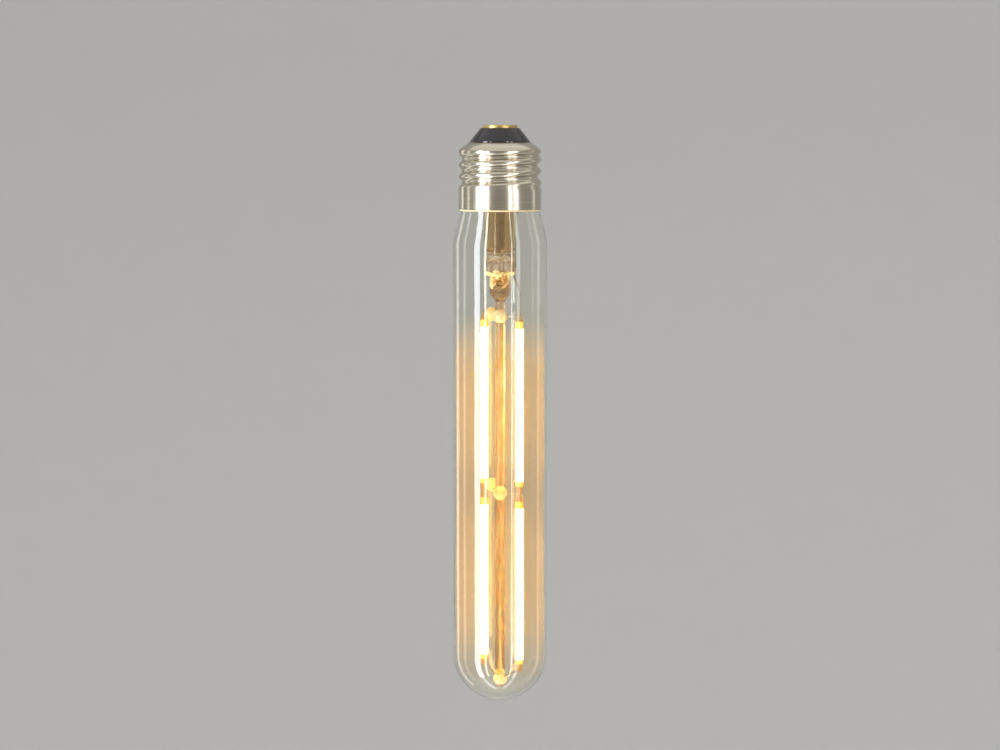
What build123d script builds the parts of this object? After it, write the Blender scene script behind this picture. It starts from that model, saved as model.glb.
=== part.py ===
from build123d import *
import math
import os

# A tubular lamp with four LED filaments in clear glass, hanging from its E27 screw cap.
# Millimetres, +Z up along the lamp's axis, origin at the middle of the contact's flat face.
# The front of the lamp is -Y and its right is +X.

# Screw cap, from the centre contact down to the open rim
contact_diameter = 11.0
contact_thickness = 0.9
contact_bore = 2.6
solder_recess = 0.15
insulator_height = 4.6
insulator_crown_diameter = 12.4
insulator_bore = 2.0
mouth_diameter = 20.0
shoulder_height = 2.4
thread_diameter = 26.3
thread_depth = 1.075
thread_length = 12.7
shell_wall = 0.35
skirt_length = 6.0
cement_film = 0.15

# Glass envelope, blown in one piece
tube_diameter = 30.0
glass_wall = 0.8
neck_stub = 0.6
neck_shoulder_height = 9.5
neck_shoulder_rounding = 14.0
tip_clearance = 2.9

# Glass stem: flare sealed to the neck, tube, pinch round the wires, root of the support rod
flare_rim_height = 0.8
flare_lip = 0.5
flare_bell_diameter = 14.0
flare_bell_depth = 2.6
flare_depth = 7.5
stem_diameter = 10.2
stem_wall = 0.85
stem_length = 24.4
pinch_thickness = 4.4
pinch_taper = 3.6
pinch_length = 3.4
root_length = 8.3
root_taper = 2.6

# Exhaust tube in the stem, and the hole that the lamp was pumped and filled through
exhaust_diameter = 4.0
exhaust_bore = 2.0
exhaust_tip_gap = 2.2
exhaust_tip_length = 2.4
exhaust_hole_drop = 2.4

# Support rod, with glass beads fused on for the wires
rod_diameter = 3.2
bead_diameter = 4.5
bead_sit = 1.2
right_bead_azimuth = -88.0
left_bead_azimuth = 158.0
upper_bead_stagger = 0.4
middle_bead_stagger = 2.2
bead_drop = 4.5
hub_drop = 4.2
rod_tail = 3.0

# LED filaments, two columns of two, and the stamped terminals at their ends
right_column_x = 6.1
right_column_y = -4.9
left_column_x = -5.1
left_column_y = 4.3
filament_length = 52.6
filament_diameter = 2.5
filament_chamfer = 0.2
terminal_length = 2.5
terminal_base_width = 2.3
terminal_tip_width = 1.0
terminal_thickness = 0.3
weld_margin = 0.8

# Wires
lead_diameter = 0.5
lead_stub = 0.7
lead_splay_drop = 3.0
support_wire_diameter = 0.5
driver_wire_diameter = 0.6

# Driver in the cap
board_thickness = 1.0
capacitor_diameter = 6.3
capacitor_height = 8.5
rectifier_size = (4.8, 4.0, 2.4)
chip_size = (4.9, 3.9, 1.5)
resistor_diameter = 2.4
resistor_length = 6.5
part_spacing = 1.6

# Clearances
seat_gap = 0.3
lead_gap = 0.25
lead_cover = 0.3

# Small pieces that repeat are faceted, with this many sides
wire_sides = 6
filament_sides = 12
bead_sides = 10

# Heights down the cap, from the contact face at 0
insulator_top = -contact_thickness
mouth = insulator_top - insulator_height
thread_top = mouth - shoulder_height
skirt_top = thread_top - thread_length
rim = skirt_top - skirt_length

# Radii of the cap, with the shell's wall at the crest of the thread
crest_radius = thread_diameter / 2
shell_bore_radius = crest_radius - shell_wall
thread_bore_radius = shell_bore_radius - thread_depth
mouth_radius = mouth_diameter / 2
neck_radius = shell_bore_radius - cement_film

# Heights down the driver, stem and rod
board_top = skirt_top - seat_gap - driver_wire_diameter
flare_top = board_top - board_thickness
seal = flare_top - flare_rim_height
stem_end = seal - stem_length
pinch_start = stem_end + pinch_length
pinch_top = pinch_start + pinch_taper
root_end = stem_end - root_length

# Heights of the filaments: top weld, two tiers, middle weld, bottom weld, hub
top_weld = root_end - bead_drop
upper_tip = top_weld + weld_margin
upper_top = upper_tip - terminal_length
upper_bottom = upper_top - filament_length
middle_weld = upper_bottom - terminal_length
lower_top = middle_weld - terminal_length
lower_bottom = lower_top - filament_length
lower_tip = lower_bottom - terminal_length
bottom_weld = lower_tip + weld_margin
hub = bottom_weld - hub_drop
rod_end = hub - rod_tail
dome_tip = rod_end - tip_clearance - glass_wall

# Radii and offsets inside the glass
stem_radius = stem_diameter / 2
stem_bore_radius = stem_radius - stem_wall
lead_offset = stem_bore_radius - lead_gap - lead_diameter / 2
lead_exit = stem_radius - lead_cover - lead_diameter / 2
root_radius = lead_offset - lead_gap - lead_diameter / 2
rod_radius = rod_diameter / 2
bead_offset = rod_radius + bead_sit
right_column = Vector(right_column_x, right_column_y, 0)
left_column = Vector(left_column_x, left_column_y, 0)


def turned(outline):
    """Solid turned about Z from a closed outline of radius and height."""
    return revolve(Plane.XZ * make_face(outline.edges()), Axis.Z)


def ring(outer, inner, top, bottom):
    """Plain ring about Z between two radii and two heights."""
    return turned(Polyline((inner, top), (outer, top), (outer, bottom), (inner, bottom), close=True))


def rod_between(radius, top, bottom):
    """Plain cylinder on the axis between two heights."""
    return Pos(0, 0, (top + bottom) / 2) * Cylinder(radius, top - bottom)


def drawn_wire(points, diameter):
    """Wire along straight runs, mitred where it bends."""
    path = Polyline(*points)
    section = Plane(path @ 0, z_dir=path % 0) * RegularPolygon(diameter / 2, wire_sides)
    return sweep(section, path=path, transition=Transition.RIGHT)


def off_axis(azimuth, radius, height):
    """Point at an angle about the axis, a radius and a height."""
    return (Rot(0, 0, azimuth) * Pos(radius, 0, height)).position


def away(column):
    """Direction along Y in which one column's terminals face away from the axis."""
    return Vector(0, math.copysign(1, column.Y), 0)


def at_terminal(column, height, lift):
    """Point in line with one column's terminals, lifted off their middle away from the axis."""
    return column + Vector(0, 0, height) + away(column) * lift


def weld_plane(column):
    """Plane of the terminals' inner faces in one column."""
    return Plane(at_terminal(column, 0, -terminal_thickness / 2), z_dir=away(column))


# Cap: drawn shell, insulator, contact and solder
def cap_form(inset):
    """Solid that fills the shell's outside, or its inside when inset by the wall."""
    wide = crest_radius - inset
    opening = mouth_radius - inset
    return turned(
        Polyline((0, mouth), (opening, mouth), (wide, thread_top), (wide, rim), (0, rim), close=True)
    )


cap_shell = cap_form(0) - cap_form(shell_wall)

cap_insulator = turned(
    Polyline(
        (insulator_bore / 2, insulator_top),
        (insulator_crown_diameter / 2, insulator_top),
        (mouth_radius, mouth),
        (insulator_bore / 2, mouth),
        close=True,
    )
)
centre_contact = ring(contact_diameter / 2, contact_bore / 2, 0, insulator_top)
contact_solder = rod_between(contact_bore / 2, -solder_recess, insulator_top)

# Envelope: neck in the cap, shoulder, tube and dome
tube_radius = tube_diameter / 2
neck_end = rim - neck_stub
tube_top = neck_end - neck_shoulder_height
dome_start = dome_tip + tube_radius


def envelope_form(inset):
    """Solid that fills the envelope's outside, or its inside when inset by the wall."""
    neck = neck_radius - inset
    tube = tube_radius - inset
    sides = Polyline((0, dome_tip + inset), (0, seal), (neck, seal), (neck, neck_end))
    sides += FilletPolyline(
        (neck, neck_end), (tube, tube_top), (tube, dome_start), radius=neck_shoulder_rounding
    )
    sides += TangentArc((tube, dome_start), (0, dome_tip + inset), tangent=(0, -1))
    return turned(sides)


glass_envelope = envelope_form(0) - envelope_form(glass_wall)

# Lead-in wires, from the driver board through the pinch to the upper filaments
lead_turn = stem_end - lead_stub
lead_lift = (terminal_thickness + lead_diameter) / 2
lead_end = upper_top + weld_margin / 2


def lead_wire(side, column):
    """Lead-in wire on one side of the stem, spread in the pinch and splayed out to its filament column."""
    points = [
        (side * lead_offset, 0, flare_top),
        (side * lead_offset, 0, pinch_top + lead_diameter),
        (side * lead_exit, 0, lead_turn),
        at_terminal(column, lead_turn - lead_splay_drop, lead_lift),
        at_terminal(column, lead_end, lead_lift),
    ]
    return drawn_wire(points, lead_diameter)


right_lead_wire = lead_wire(1, right_column)
left_lead_wire = lead_wire(-1, left_column)


# Support wires from the beads, and the bridge wire through the hub
right_beads = {
    "upper": off_axis(right_bead_azimuth, bead_offset, top_weld),
    "middle": off_axis(right_bead_azimuth, bead_offset, middle_weld),
}
left_beads = {
    "upper": off_axis(left_bead_azimuth, bead_offset, top_weld + upper_bead_stagger),
    "middle": off_axis(left_bead_azimuth, bead_offset, middle_weld + middle_bead_stagger),
}
hub_centre = Vector(0, 0, hub)


def past_weld(start, column, height):
    """End of a straight run from a start to a weld and on through the terminal."""
    run = at_terminal(column, height, -terminal_thickness / 2) - start
    return start + run + run.normalized() * filament_diameter


def support_wire(bead_centre, column, height):
    """Wire from the middle of a bead to the inner faces of the terminals at one weld."""
    wire = drawn_wire([bead_centre, past_weld(bead_centre, column, height)], support_wire_diameter)
    return split(wire, weld_plane(column), keep=Keep.BOTTOM)


right_upper_support_wire = support_wire(right_beads["upper"], right_column, top_weld)
left_upper_support_wire = support_wire(left_beads["upper"], left_column, top_weld)
right_middle_support_wire = support_wire(right_beads["middle"], right_column, middle_weld)
left_middle_support_wire = support_wire(left_beads["middle"], left_column, middle_weld)

bridge_points = [
    past_weld(hub_centre, right_column, bottom_weld),
    hub_centre,
    past_weld(hub_centre, left_column, bottom_weld),
]
lower_bridge_wire = drawn_wire(bridge_points, support_wire_diameter)
for column in (right_column, left_column):
    lower_bridge_wire = split(lower_bridge_wire, weld_plane(column), keep=Keep.BOTTOM)

# Stem: flare and tube turned in one, with a flare of two tapers
flare_outer = neck_radius - glass_wall - seat_gap
flare_inner = flare_outer - flare_lip
bell_radius = flare_bell_diameter / 2
flare_and_tube = turned(
    Polyline(
        (flare_outer, seal),
        (neck_radius, seal),
        (neck_radius, flare_top),
        (flare_inner, flare_top),
        (bell_radius - stem_wall, flare_top - flare_bell_depth),
        (stem_bore_radius, seal - flare_depth),
        (stem_bore_radius, pinch_top),
        (stem_radius, pinch_top),
        (stem_radius, seal - flare_depth),
        (bell_radius, seal - flare_bell_depth),
        close=True,
    )
)

# Pinch: the end of the tube pressed flat from front and back
press_opening = stem_radius + stem_wall
press_outline = Polyline(
    (press_opening, pinch_top),
    (pinch_thickness / 2, pinch_start),
    (pinch_thickness / 2, stem_end),
    (-pinch_thickness / 2, stem_end),
    (-pinch_thickness / 2, pinch_start),
    (-press_opening, pinch_top),
    close=True,
)
press = extrude(Plane.YZ * make_face(press_outline.edges()), amount=stem_diameter, both=True)
pinch = rod_between(stem_radius, pinch_top, stem_end) & press

# Root and support rod, with the exhaust tube above the pinch
exhaust_top = flare_top - exhaust_tip_gap
exhaust_neck = exhaust_top - exhaust_tip_length
root_and_rod = turned(
    Polyline(
        (0, stem_end),
        (root_radius, stem_end),
        (root_radius, root_end + root_taper),
        (rod_radius, root_end),
        (rod_radius, rod_end),
        (0, rod_end),
        close=True,
    )
)
exhaust_tube = rod_between(exhaust_diameter / 2, exhaust_top, pinch_top)

# Bead, a faceted ball with an eight-sided section
bead_radius = bead_diameter / 2
bead_block = extrude(RegularPolygon(bead_radius, bead_sides), amount=bead_radius, both=True)
bead_bevel = bead_radius * (1 - math.tan(math.radians(22.5)))
bead = chamfer(bead_block.faces().filter_by(Axis.Z).edges(), bead_bevel)

glass_stem = flare_and_tube + pinch + root_and_rod + exhaust_tube
for centre in (*right_beads.values(), *left_beads.values(), hub_centre):
    glass_stem += Pos(centre) * bead

# Exhaust passage down through the pinch to a hole in the front of the root
hole_height = stem_end - exhaust_hole_drop
glass_stem -= rod_between(exhaust_bore / 2, exhaust_neck, hole_height)
hole_section = Plane((0, 0, hole_height), z_dir=(0, -1, 0)) * Circle(exhaust_bore / 2)
glass_stem -= extrude(hole_section, amount=stem_radius)
for wire in (
    right_lead_wire,
    left_lead_wire,
    right_upper_support_wire,
    left_upper_support_wire,
    right_middle_support_wire,
    left_middle_support_wire,
    lower_bridge_wire,
):
    glass_stem -= wire

# Filament, and flat terminals tapering away from its two ends
filament_section = RegularPolygon(filament_diameter / 2, filament_sides)
filament_bar = extrude(filament_section, amount=-filament_length)
filament = chamfer(filament_bar.faces().filter_by(Axis.Z).edges(), filament_chamfer)

half_base = terminal_base_width / 2
half_tip = terminal_tip_width / 2
terminal_outline = Polyline(
    (-half_base, 0), (half_base, 0), (half_tip, terminal_length), (-half_tip, terminal_length), close=True
)
terminal_face = Plane.XZ * make_face(terminal_outline.edges())
terminal_up = extrude(terminal_face, amount=terminal_thickness / 2, both=True)
terminal_down = mirror(terminal_up, Plane.XY)


def placed(solid, column, height):
    """A filament or terminal moved to its column and height, facing the front."""
    return Pos(at_terminal(column, height, 0)) * solid


# Driver: square board with its corners on the flare, parts on top, wires to the contact and shell
board_corner = thread_bore_radius - seat_gap
board_side = board_corner * math.sqrt(2)
driver_board = Pos(0, 0, board_top - board_thickness / 2) * Box(board_side, board_side, board_thickness)

smoothing_capacitor = Pos(
    -(resistor_diameter + capacitor_diameter) / 2 - part_spacing / 2, 0, 0
) * rod_between(capacitor_diameter / 2, board_top + capacitor_height, board_top)


def board_part(size, side):
    """Flat package on the board's right half, behind or in front of the resistor."""
    x = (resistor_diameter + size[0] + part_spacing) / 2
    y = side * (size[1] + part_spacing) / 2
    return Pos(x, y, board_top + size[2] / 2) * Box(*size)


bridge_rectifier = board_part(rectifier_size, -1)
driver_chip = board_part(chip_size, 1)
resistor_top = board_top + resistor_length
fusible_resistor = rod_between(resistor_diameter / 2, resistor_top, board_top)
live_wire = drawn_wire([(0, 0, resistor_top), (0, 0, insulator_top)], driver_wire_diameter)

neutral_height = board_top + driver_wire_diameter / 2
neutral_points = [(0, board_side / 4, neutral_height), (0, crest_radius, neutral_height)]
neutral_wire = drawn_wire(neutral_points, driver_wire_diameter)
neutral_wire &= rod_between(shell_bore_radius, skirt_top, rim)

pieces = {
    "glass_envelope": glass_envelope,
    "glass_stem": glass_stem,
    "right_lead_wire": right_lead_wire,
    "left_lead_wire": left_lead_wire,
    "right_upper_support_wire": right_upper_support_wire,
    "left_upper_support_wire": left_upper_support_wire,
    "right_middle_support_wire": right_middle_support_wire,
    "left_middle_support_wire": left_middle_support_wire,
    "lower_bridge_wire": lower_bridge_wire,
    "cap_shell": cap_shell,
    "cap_insulator": cap_insulator,
    "centre_contact": centre_contact,
    "contact_solder": contact_solder,
    "driver_board": driver_board,
    "smoothing_capacitor": smoothing_capacitor,
    "bridge_rectifier": bridge_rectifier,
    "driver_chip": driver_chip,
    "fusible_resistor": fusible_resistor,
    "live_wire": live_wire,
    "neutral_wire": neutral_wire,
}
for side, column in (("right", right_column), ("left", left_column)):
    for tier, top, bottom in (("upper", upper_top, upper_bottom), ("lower", lower_top, lower_bottom)):
        name = f"{tier}_{side}_filament"
        pieces[name] = placed(filament, column, top)
        pieces[f"{name}_top_terminal"] = placed(terminal_up, column, top)
        pieces[f"{name}_bottom_terminal"] = placed(terminal_down, column, bottom)

os.makedirs("parts", exist_ok=True)
for name, solid in pieces.items():
    export_step(solid, f"parts/{name}.step")
print(f"{len(pieces)} pieces, {-dome_tip:.1f} mm overall")
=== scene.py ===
"""Looks of a clear tubular filament lamp: blown glass, lit filaments, wires, screw cap and driver.

Sizes are in millimetres in the lamp's own frame, with +Z up along its axis, and become metres in the meshes.
"""

import logging
import math
from collections.abc import Callable, Sequence
from dataclasses import dataclass, field, replace
from enum import Enum

import bmesh
import bpy
from mathutils import Matrix, Vector, noise


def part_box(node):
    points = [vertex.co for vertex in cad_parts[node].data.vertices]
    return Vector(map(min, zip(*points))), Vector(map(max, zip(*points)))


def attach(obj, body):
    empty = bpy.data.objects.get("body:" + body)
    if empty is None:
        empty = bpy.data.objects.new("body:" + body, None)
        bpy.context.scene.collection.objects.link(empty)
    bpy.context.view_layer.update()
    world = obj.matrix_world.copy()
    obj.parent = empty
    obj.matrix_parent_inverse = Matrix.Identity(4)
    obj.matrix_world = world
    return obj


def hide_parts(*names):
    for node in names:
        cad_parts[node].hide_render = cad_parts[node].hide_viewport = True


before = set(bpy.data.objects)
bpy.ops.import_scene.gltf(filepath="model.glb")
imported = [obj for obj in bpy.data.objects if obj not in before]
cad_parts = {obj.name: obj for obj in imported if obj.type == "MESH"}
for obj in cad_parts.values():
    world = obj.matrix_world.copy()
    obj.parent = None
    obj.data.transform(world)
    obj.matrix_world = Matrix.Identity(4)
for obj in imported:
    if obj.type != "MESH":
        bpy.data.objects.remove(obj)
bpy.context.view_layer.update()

MM = 0.001
POLE_RADIUS = 1e-6
# Sizes that more than one assembly is built round
NECK_RADIUS = 12.65
NECK_END = -27.2
TERMINAL_THICKNESS = 0.3
BODY = "root"
LOG = logging.getLogger("lamp")

Route = list[Vector]
Sink = Callable[[float, Vector], float]


class Side(Enum):
    """The two columns of filaments, as seen from the front."""

    RIGHT = "right"
    LEFT = "left"

    @property
    def sign(self) -> int:
        """Which way along X the side's lead-in wire leaves the stem."""
        return 1 if self is Side.RIGHT else -1


class Tier(Enum):
    """The two filaments of a column."""

    UPPER = "upper"
    LOWER = "lower"


class Grain(Enum):
    """Which way a surface's pattern is drawn out, as scales along X, Y and Z."""

    EVEN = (1.0, 1.0, 1.0)
    ROUND_THE_AXIS = (0.05, 0.05, 1.0)
    ALONG_THE_AXIS = (1.0, 1.0, 0.05)


# Places read from the frame


def box_mm(node: str) -> tuple[Vector, Vector]:
    """Lowest and highest corner of a CAD node, in millimetres."""
    low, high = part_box(node)
    return low / MM, high / MM


def on_column(azimuth: float, radius: float, height: float) -> Vector:
    """Point at a radius and height in the plane of one filament column.

    Args:
        azimuth: Angle of the column about Z, in radians.
        radius: Distance from the lamp's axis.
        height: Height of the point.

    Returns:
        The point in the lamp's frame.
    """
    return Vector((radius * math.cos(azimuth), radius * math.sin(azimuth), height))


# Colours, nodes and finishes


def linear(colour: str) -> tuple[float, float, float, float]:
    """Linear colour of an sRGB hex value.

    Args:
        colour: Six hex digits after a hash sign.

    Returns:
        Red, green, blue and an alpha of 1.
    """
    shares = [int(colour[start : start + 2], 16) / 255 for start in (1, 3, 5)]
    red, green, blue = (s / 12.92 if s <= 0.04045 else ((s + 0.055) / 1.055) ** 2.4 for s in shares)
    return red, green, blue, 1.0


def add_node(
    tree: bpy.types.NodeTree,
    kind: str,
    values: dict[str | int, object] | None = None,
    links: dict[str | int, bpy.types.NodeSocket] | None = None,
    **settings: object,
) -> bpy.types.Node:
    """Adds a node with its settings, input values and links.

    Args:
        tree: Node tree that gets the node.
        kind: Type name of the node.
        values: Plain values of inputs, by name or index.
        links: Output sockets that feed inputs, by name or index.
        settings: Properties of the node itself.

    Returns:
        The new node.
    """
    node = tree.nodes.new(kind)
    for name, value in settings.items():
        setattr(node, name, value)
    for key, value in (values or {}).items():
        node.inputs[key].default_value = value
    for key, socket in (links or {}).items():
        tree.links.new(socket, node.inputs[key])
    return node


@dataclass(frozen=True)
class Finish:
    """A surface: what it is made of, how it shines, and the pattern that it was left with.

    The pattern is one noise of a real size. It turns the colour towards a second one, spreads the roughness
    and lifts the surface.
    """

    name: str
    colour: str
    second_colour: str
    roughness: float = 0.0
    roughness_spread: float = 0.0
    grain_mm: float = 1.0
    relief_mm: float = 0.0
    grain: Grain = Grain.EVEN
    metallic: float = 0.0
    ior: float = 1.5

    def plain_values(self) -> dict[str, object]:
        """Shader values that are the same all over the surface."""
        return {"Metallic": self.metallic, "IOR": self.ior}

    def pattern(self, tree: bpy.types.NodeTree) -> bpy.types.NodeSocket:
        """Noise at the grain's real size, drawn out along the grain.

        Args:
            tree: Node tree that gets the pattern.

        Returns:
            The pattern's value, around a half.
        """
        place = add_node(tree, "ShaderNodeTexCoord")
        stretch = [scale / (self.grain_mm * MM) for scale in self.grain.value]
        scaled = add_node(tree, "ShaderNodeMapping", {"Scale": stretch}, {"Vector": place.outputs["Object"]})
        values = {"Scale": 1.0, "Detail": 4.0, "Roughness": 0.6}
        return add_node(tree, "ShaderNodeTexNoise", values, {"Vector": scaled.outputs[0]}).outputs[0]

    def colour_socket(self, tree: bpy.types.NodeTree, share: bpy.types.NodeSocket) -> bpy.types.NodeSocket:
        """Colour that goes from the first to the second with the pattern.

        Args:
            tree: Node tree that gets the mix.
            share: Pattern that drives it.

        Returns:
            The mixed colour.
        """
        values = {6: linear(self.colour), 7: linear(self.second_colour)}
        return add_node(tree, "ShaderNodeMix", values, {0: share}, data_type="RGBA").outputs[2]

    def links(self, tree: bpy.types.NodeTree) -> dict[str | int, bpy.types.NodeSocket]:
        """Patterns that feed the shader.

        Args:
            tree: Node tree that gets them.

        Returns:
            Output sockets by the name of the shader's input.
        """
        share = self.pattern(tree)
        low = max(0.0, self.roughness - self.roughness_spread)
        spread = {"To Min": low, "To Max": self.roughness + self.roughness_spread}
        rough = add_node(tree, "ShaderNodeMapRange", spread, {"Value": share})
        lift = {"Strength": 1.0, "Distance": self.relief_mm * MM}
        bump = add_node(tree, "ShaderNodeBump", lift, {"Height": share})
        return {
            "Base Color": self.colour_socket(tree, share),
            "Roughness": rough.outputs[0],
            "Normal": bump.outputs[0],
        }

    def surface(self, tree: bpy.types.NodeTree) -> bpy.types.NodeSocket:
        """The finish's shader.

        Args:
            tree: Node tree that gets it.

        Returns:
            The shader's output.
        """
        shader = add_node(tree, "ShaderNodeBsdfPrincipled", self.plain_values(), self.links(tree))
        return shader.outputs[0]

    def material(self) -> bpy.types.Material:
        """The finish as a material, made once.

        Returns:
            The material, new or made before.
        """
        known = bpy.data.materials.get(self.name)
        if known:
            return known
        made = bpy.data.materials.new(self.name)
        made.use_nodes = True
        made.node_tree.nodes.clear()
        surface = self.surface(made.node_tree)
        add_node(made.node_tree, "ShaderNodeOutputMaterial", links={"Surface": surface})
        return made


@dataclass(frozen=True)
class ClearGlass(Finish):
    """Even, polished glass that light goes through.

    Its second colour is the tint of the light that it lets through to other surfaces.
    """

    clearness: float = 0.95

    def plain_values(self) -> dict[str, object]:
        """Shader values of the glass, all plain but its relief."""
        return {
            "Base Color": linear(self.colour),
            "Roughness": self.roughness,
            "IOR": self.ior,
            "Transmission Weight": self.clearness,
        }

    def links(self, tree: bpy.types.NodeTree) -> dict[str | int, bpy.types.NodeSocket]:
        """Only the relief, because the colour and polish are even.

        Args:
            tree: Node tree that gets it.

        Returns:
            The relief's normals, by the name of the shader's input.
        """
        lift = {"Strength": 1.0, "Distance": self.relief_mm * MM}
        bump = add_node(tree, "ShaderNodeBump", lift, {"Height": self.pattern(tree)})
        return {"Normal": bump.outputs[0]}

    def surface(self, tree: bpy.types.NodeTree) -> bpy.types.NodeSocket:
        """Glass for what is seen, and a clear pane for shadows, so that light gets in and out.

        Args:
            tree: Node tree that gets it.

        Returns:
            The mixed shader's output.
        """
        glass = super().surface(tree)
        clear = add_node(tree, "ShaderNodeBsdfTransparent", {"Color": linear(self.second_colour)})
        path = add_node(tree, "ShaderNodeLightPath")
        links = {0: path.outputs["Is Shadow Ray"], 1: glass, 2: clear.outputs[0]}
        return add_node(tree, "ShaderNodeMixShader", links=links).outputs[0]


# On the stem's rod, pinch, seal and root the patches are painted glints and painted shade lines
@dataclass(frozen=True)
class StainedGlass(ClearGlass):
    """Glass with patches of a second tint, milky enough to carry light about inside it.

    The tint changes over patch_range, the pattern's values from the first colour to the second. Inside the
    glass, red, green and blue light go their shares of scatter_mm.
    """

    scatter_mm: float = 1.0
    scatter_shares: tuple[float, float, float] = (1.0, 0.8, 0.5)
    patch_range: tuple[float, float] = (0.4, 0.6)

    def plain_values(self) -> dict[str, object]:
        """Shader values of the glass, with its milkiness."""
        milk = {
            "Subsurface Weight": 1.0,
            "Subsurface Radius": self.scatter_shares,
            "Subsurface Scale": self.scatter_mm * MM,
        }
        return {**super().plain_values(), **milk}

    def links(self, tree: bpy.types.NodeTree) -> dict[str | int, bpy.types.NodeSocket]:
        """The relief and the patches.

        Args:
            tree: Node tree that gets them.

        Returns:
            Output sockets by the name of the shader's input.
        """
        first, second = self.patch_range
        sharper = {"From Min": first, "From Max": second}
        patches = add_node(tree, "ShaderNodeMapRange", sharper, {"Value": self.pattern(tree)})
        return {**super().links(tree), "Base Color": self.colour_socket(tree, patches.outputs[0])}


# A stand-in for the filaments' glow, lit by their real light; its amber colour and tint are painted glow
@dataclass(frozen=True)
class Haze(Finish):
    """A film far too thin to hide what is behind it, which spreads a little of the light that goes through.

    Each fade goes from a height with no film to one where it has its full density. The second colour is
    painted glow: it tints what is seen through the film amber, in the band round the filaments.
    """

    density: float = 0.05
    unevenness: float = 0.4
    upper_fade: tuple[float, float] = (-58.0, -84.0)
    lower_fade: tuple[float, float] = (-190.0, -146.0)
    painted_glow_share: float = 0.5

    def plain_values(self) -> dict[str, object]:
        """Shader values of the film, all plain but its density."""
        return {
            "Base Color": linear(self.colour),
            "Roughness": self.roughness,
            "IOR": self.ior,
            "Transmission Weight": 1.0,
        }

    def band(self, tree: bpy.types.NodeTree) -> bpy.types.NodeSocket:
        """Share of the full density, which fades out above and below the filaments.

        Args:
            tree: Node tree that gets the fades.

        Returns:
            The share at each height.
        """
        place = add_node(tree, "ShaderNodeTexCoord")
        height = add_node(tree, "ShaderNodeSeparateXYZ", links={0: place.outputs["Object"]}).outputs[2]
        fades = {}
        for index, (bare, full) in enumerate((self.upper_fade, self.lower_fade)):
            ends = {"From Min": bare * MM, "From Max": full * MM}
            ramp = add_node(
                tree, "ShaderNodeMapRange", ends, {"Value": height}, interpolation_type="SMOOTHSTEP"
            )
            fades[index] = ramp.outputs[0]
        return add_node(tree, "ShaderNodeMath", links=fades, operation="MULTIPLY").outputs[0]

    def links(self, tree: bpy.types.NodeTree) -> dict[str | int, bpy.types.NodeSocket]:
        """Only the density, which is a little uneven.

        Args:
            tree: Node tree that gets it.

        Returns:
            The film's alpha, by the name of the shader's input.
        """
        thinnest, thickest = self.density * (1 - self.unevenness), self.density * (1 + self.unevenness)
        spread = {"To Min": thinnest, "To Max": thickest}
        thin = add_node(tree, "ShaderNodeMapRange", spread, {"Value": self.pattern(tree)})
        links = {0: thin.outputs[0], 1: self.band(tree)}
        return {"Alpha": add_node(tree, "ShaderNodeMath", links=links, operation="MULTIPLY").outputs[0]}

    def surface(self, tree: bpy.types.NodeTree) -> bpy.types.NodeSocket:
        """The film's scatter of the filaments' light, and painted glow: an amber tint of what is seen through
        it.

        Args:
            tree: Node tree that gets it.

        Returns:
            The mixed shader's output.
        """
        film = super().surface(tree)
        # Painted glow: an amber tint of what is seen through the film, in the band round the filaments
        tinted = add_node(tree, "ShaderNodeBsdfTransparent", {"Color": linear(self.second_colour)})
        share = add_node(
            tree, "ShaderNodeMath", {1: self.painted_glow_share}, {0: self.band(tree)}, operation="MULTIPLY"
        )
        links = {0: share.outputs[0], 1: film, 2: tinted.outputs[0]}
        return add_node(tree, "ShaderNodeMixShader", links=links).outputs[0]


@dataclass(frozen=True)
class LitPhosphor(Finish):
    """Silicone full of phosphor that glows by itself."""

    glow: str = "#FFFFFF"
    brightness: float = 1.0

    def plain_values(self) -> dict[str, object]:
        """Shader values with the glow."""
        glow = {"Emission Color": linear(self.glow), "Emission Strength": self.brightness}
        return {**super().plain_values(), **glow}


# Blown soda-lime glass: almost colourless and glossy, with faint draw lines that make reflections waver.
BLOWN_GLASS = ClearGlass(
    "blown_soda_lime_glass",
    "#F5F6F1",
    "#F6F4EC",
    grain_mm=9.0,
    relief_mm=0.05,
    grain=Grain.ALONG_THE_AXIS,
    ior=1.52,
    clearness=0.998,
)
# Film that stands in for the filaments' glow: hardly there, it catches their light; its amber tint is painted
# glow.
GLOW_HAZE = Haze(
    "glow_haze_with_painted_tint", "#FFD470", "#FFF5E4", roughness=1.0, grain_mm=14.0, density=0.028
)
# Pressed lead glass of the stem: browner than the envelope, a tint that is painted amber glow, with faint
# flow marks from the press.
STEM_GLASS_PAINTED_GLOW = ClearGlass(
    "pressed_glass_painted_glow_tint", "#ECD8AE", "#F4E8CC", grain_mm=2.5, relief_mm=0.01, ior=1.56, clearness=0.99
)
# Glass of the rod's root, melted round the copper-clad wires and crinkled.
# Its pale gold and brown patches are painted glints and painted shade lines.
ROOT_GLASS_PAINTED_GLINTS = StainedGlass(
    "root_glass_painted_glints_and_shade",
    "#E9C88C",
    "#7E5526",
    grain_mm=1.6,
    relief_mm=0.3,
    ior=1.62,
    clearness=0.92,
    scatter_mm=3.0,
)
# Glass at the seal between pinch and root: crinkled and milky, so that it is bright all over.
# Its pale gold patches are painted glints and its brown patches painted shade lines.
SEAL_GLASS_PAINTED_GLINTS = StainedGlass(
    "seal_glass_painted_glints",
    "#FFF0B4",
    "#A8762E",
    roughness=0.04,
    grain_mm=1.2,
    relief_mm=0.3,
    ior=1.62,
    clearness=0.3,
    scatter_mm=1.0,
)
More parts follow.
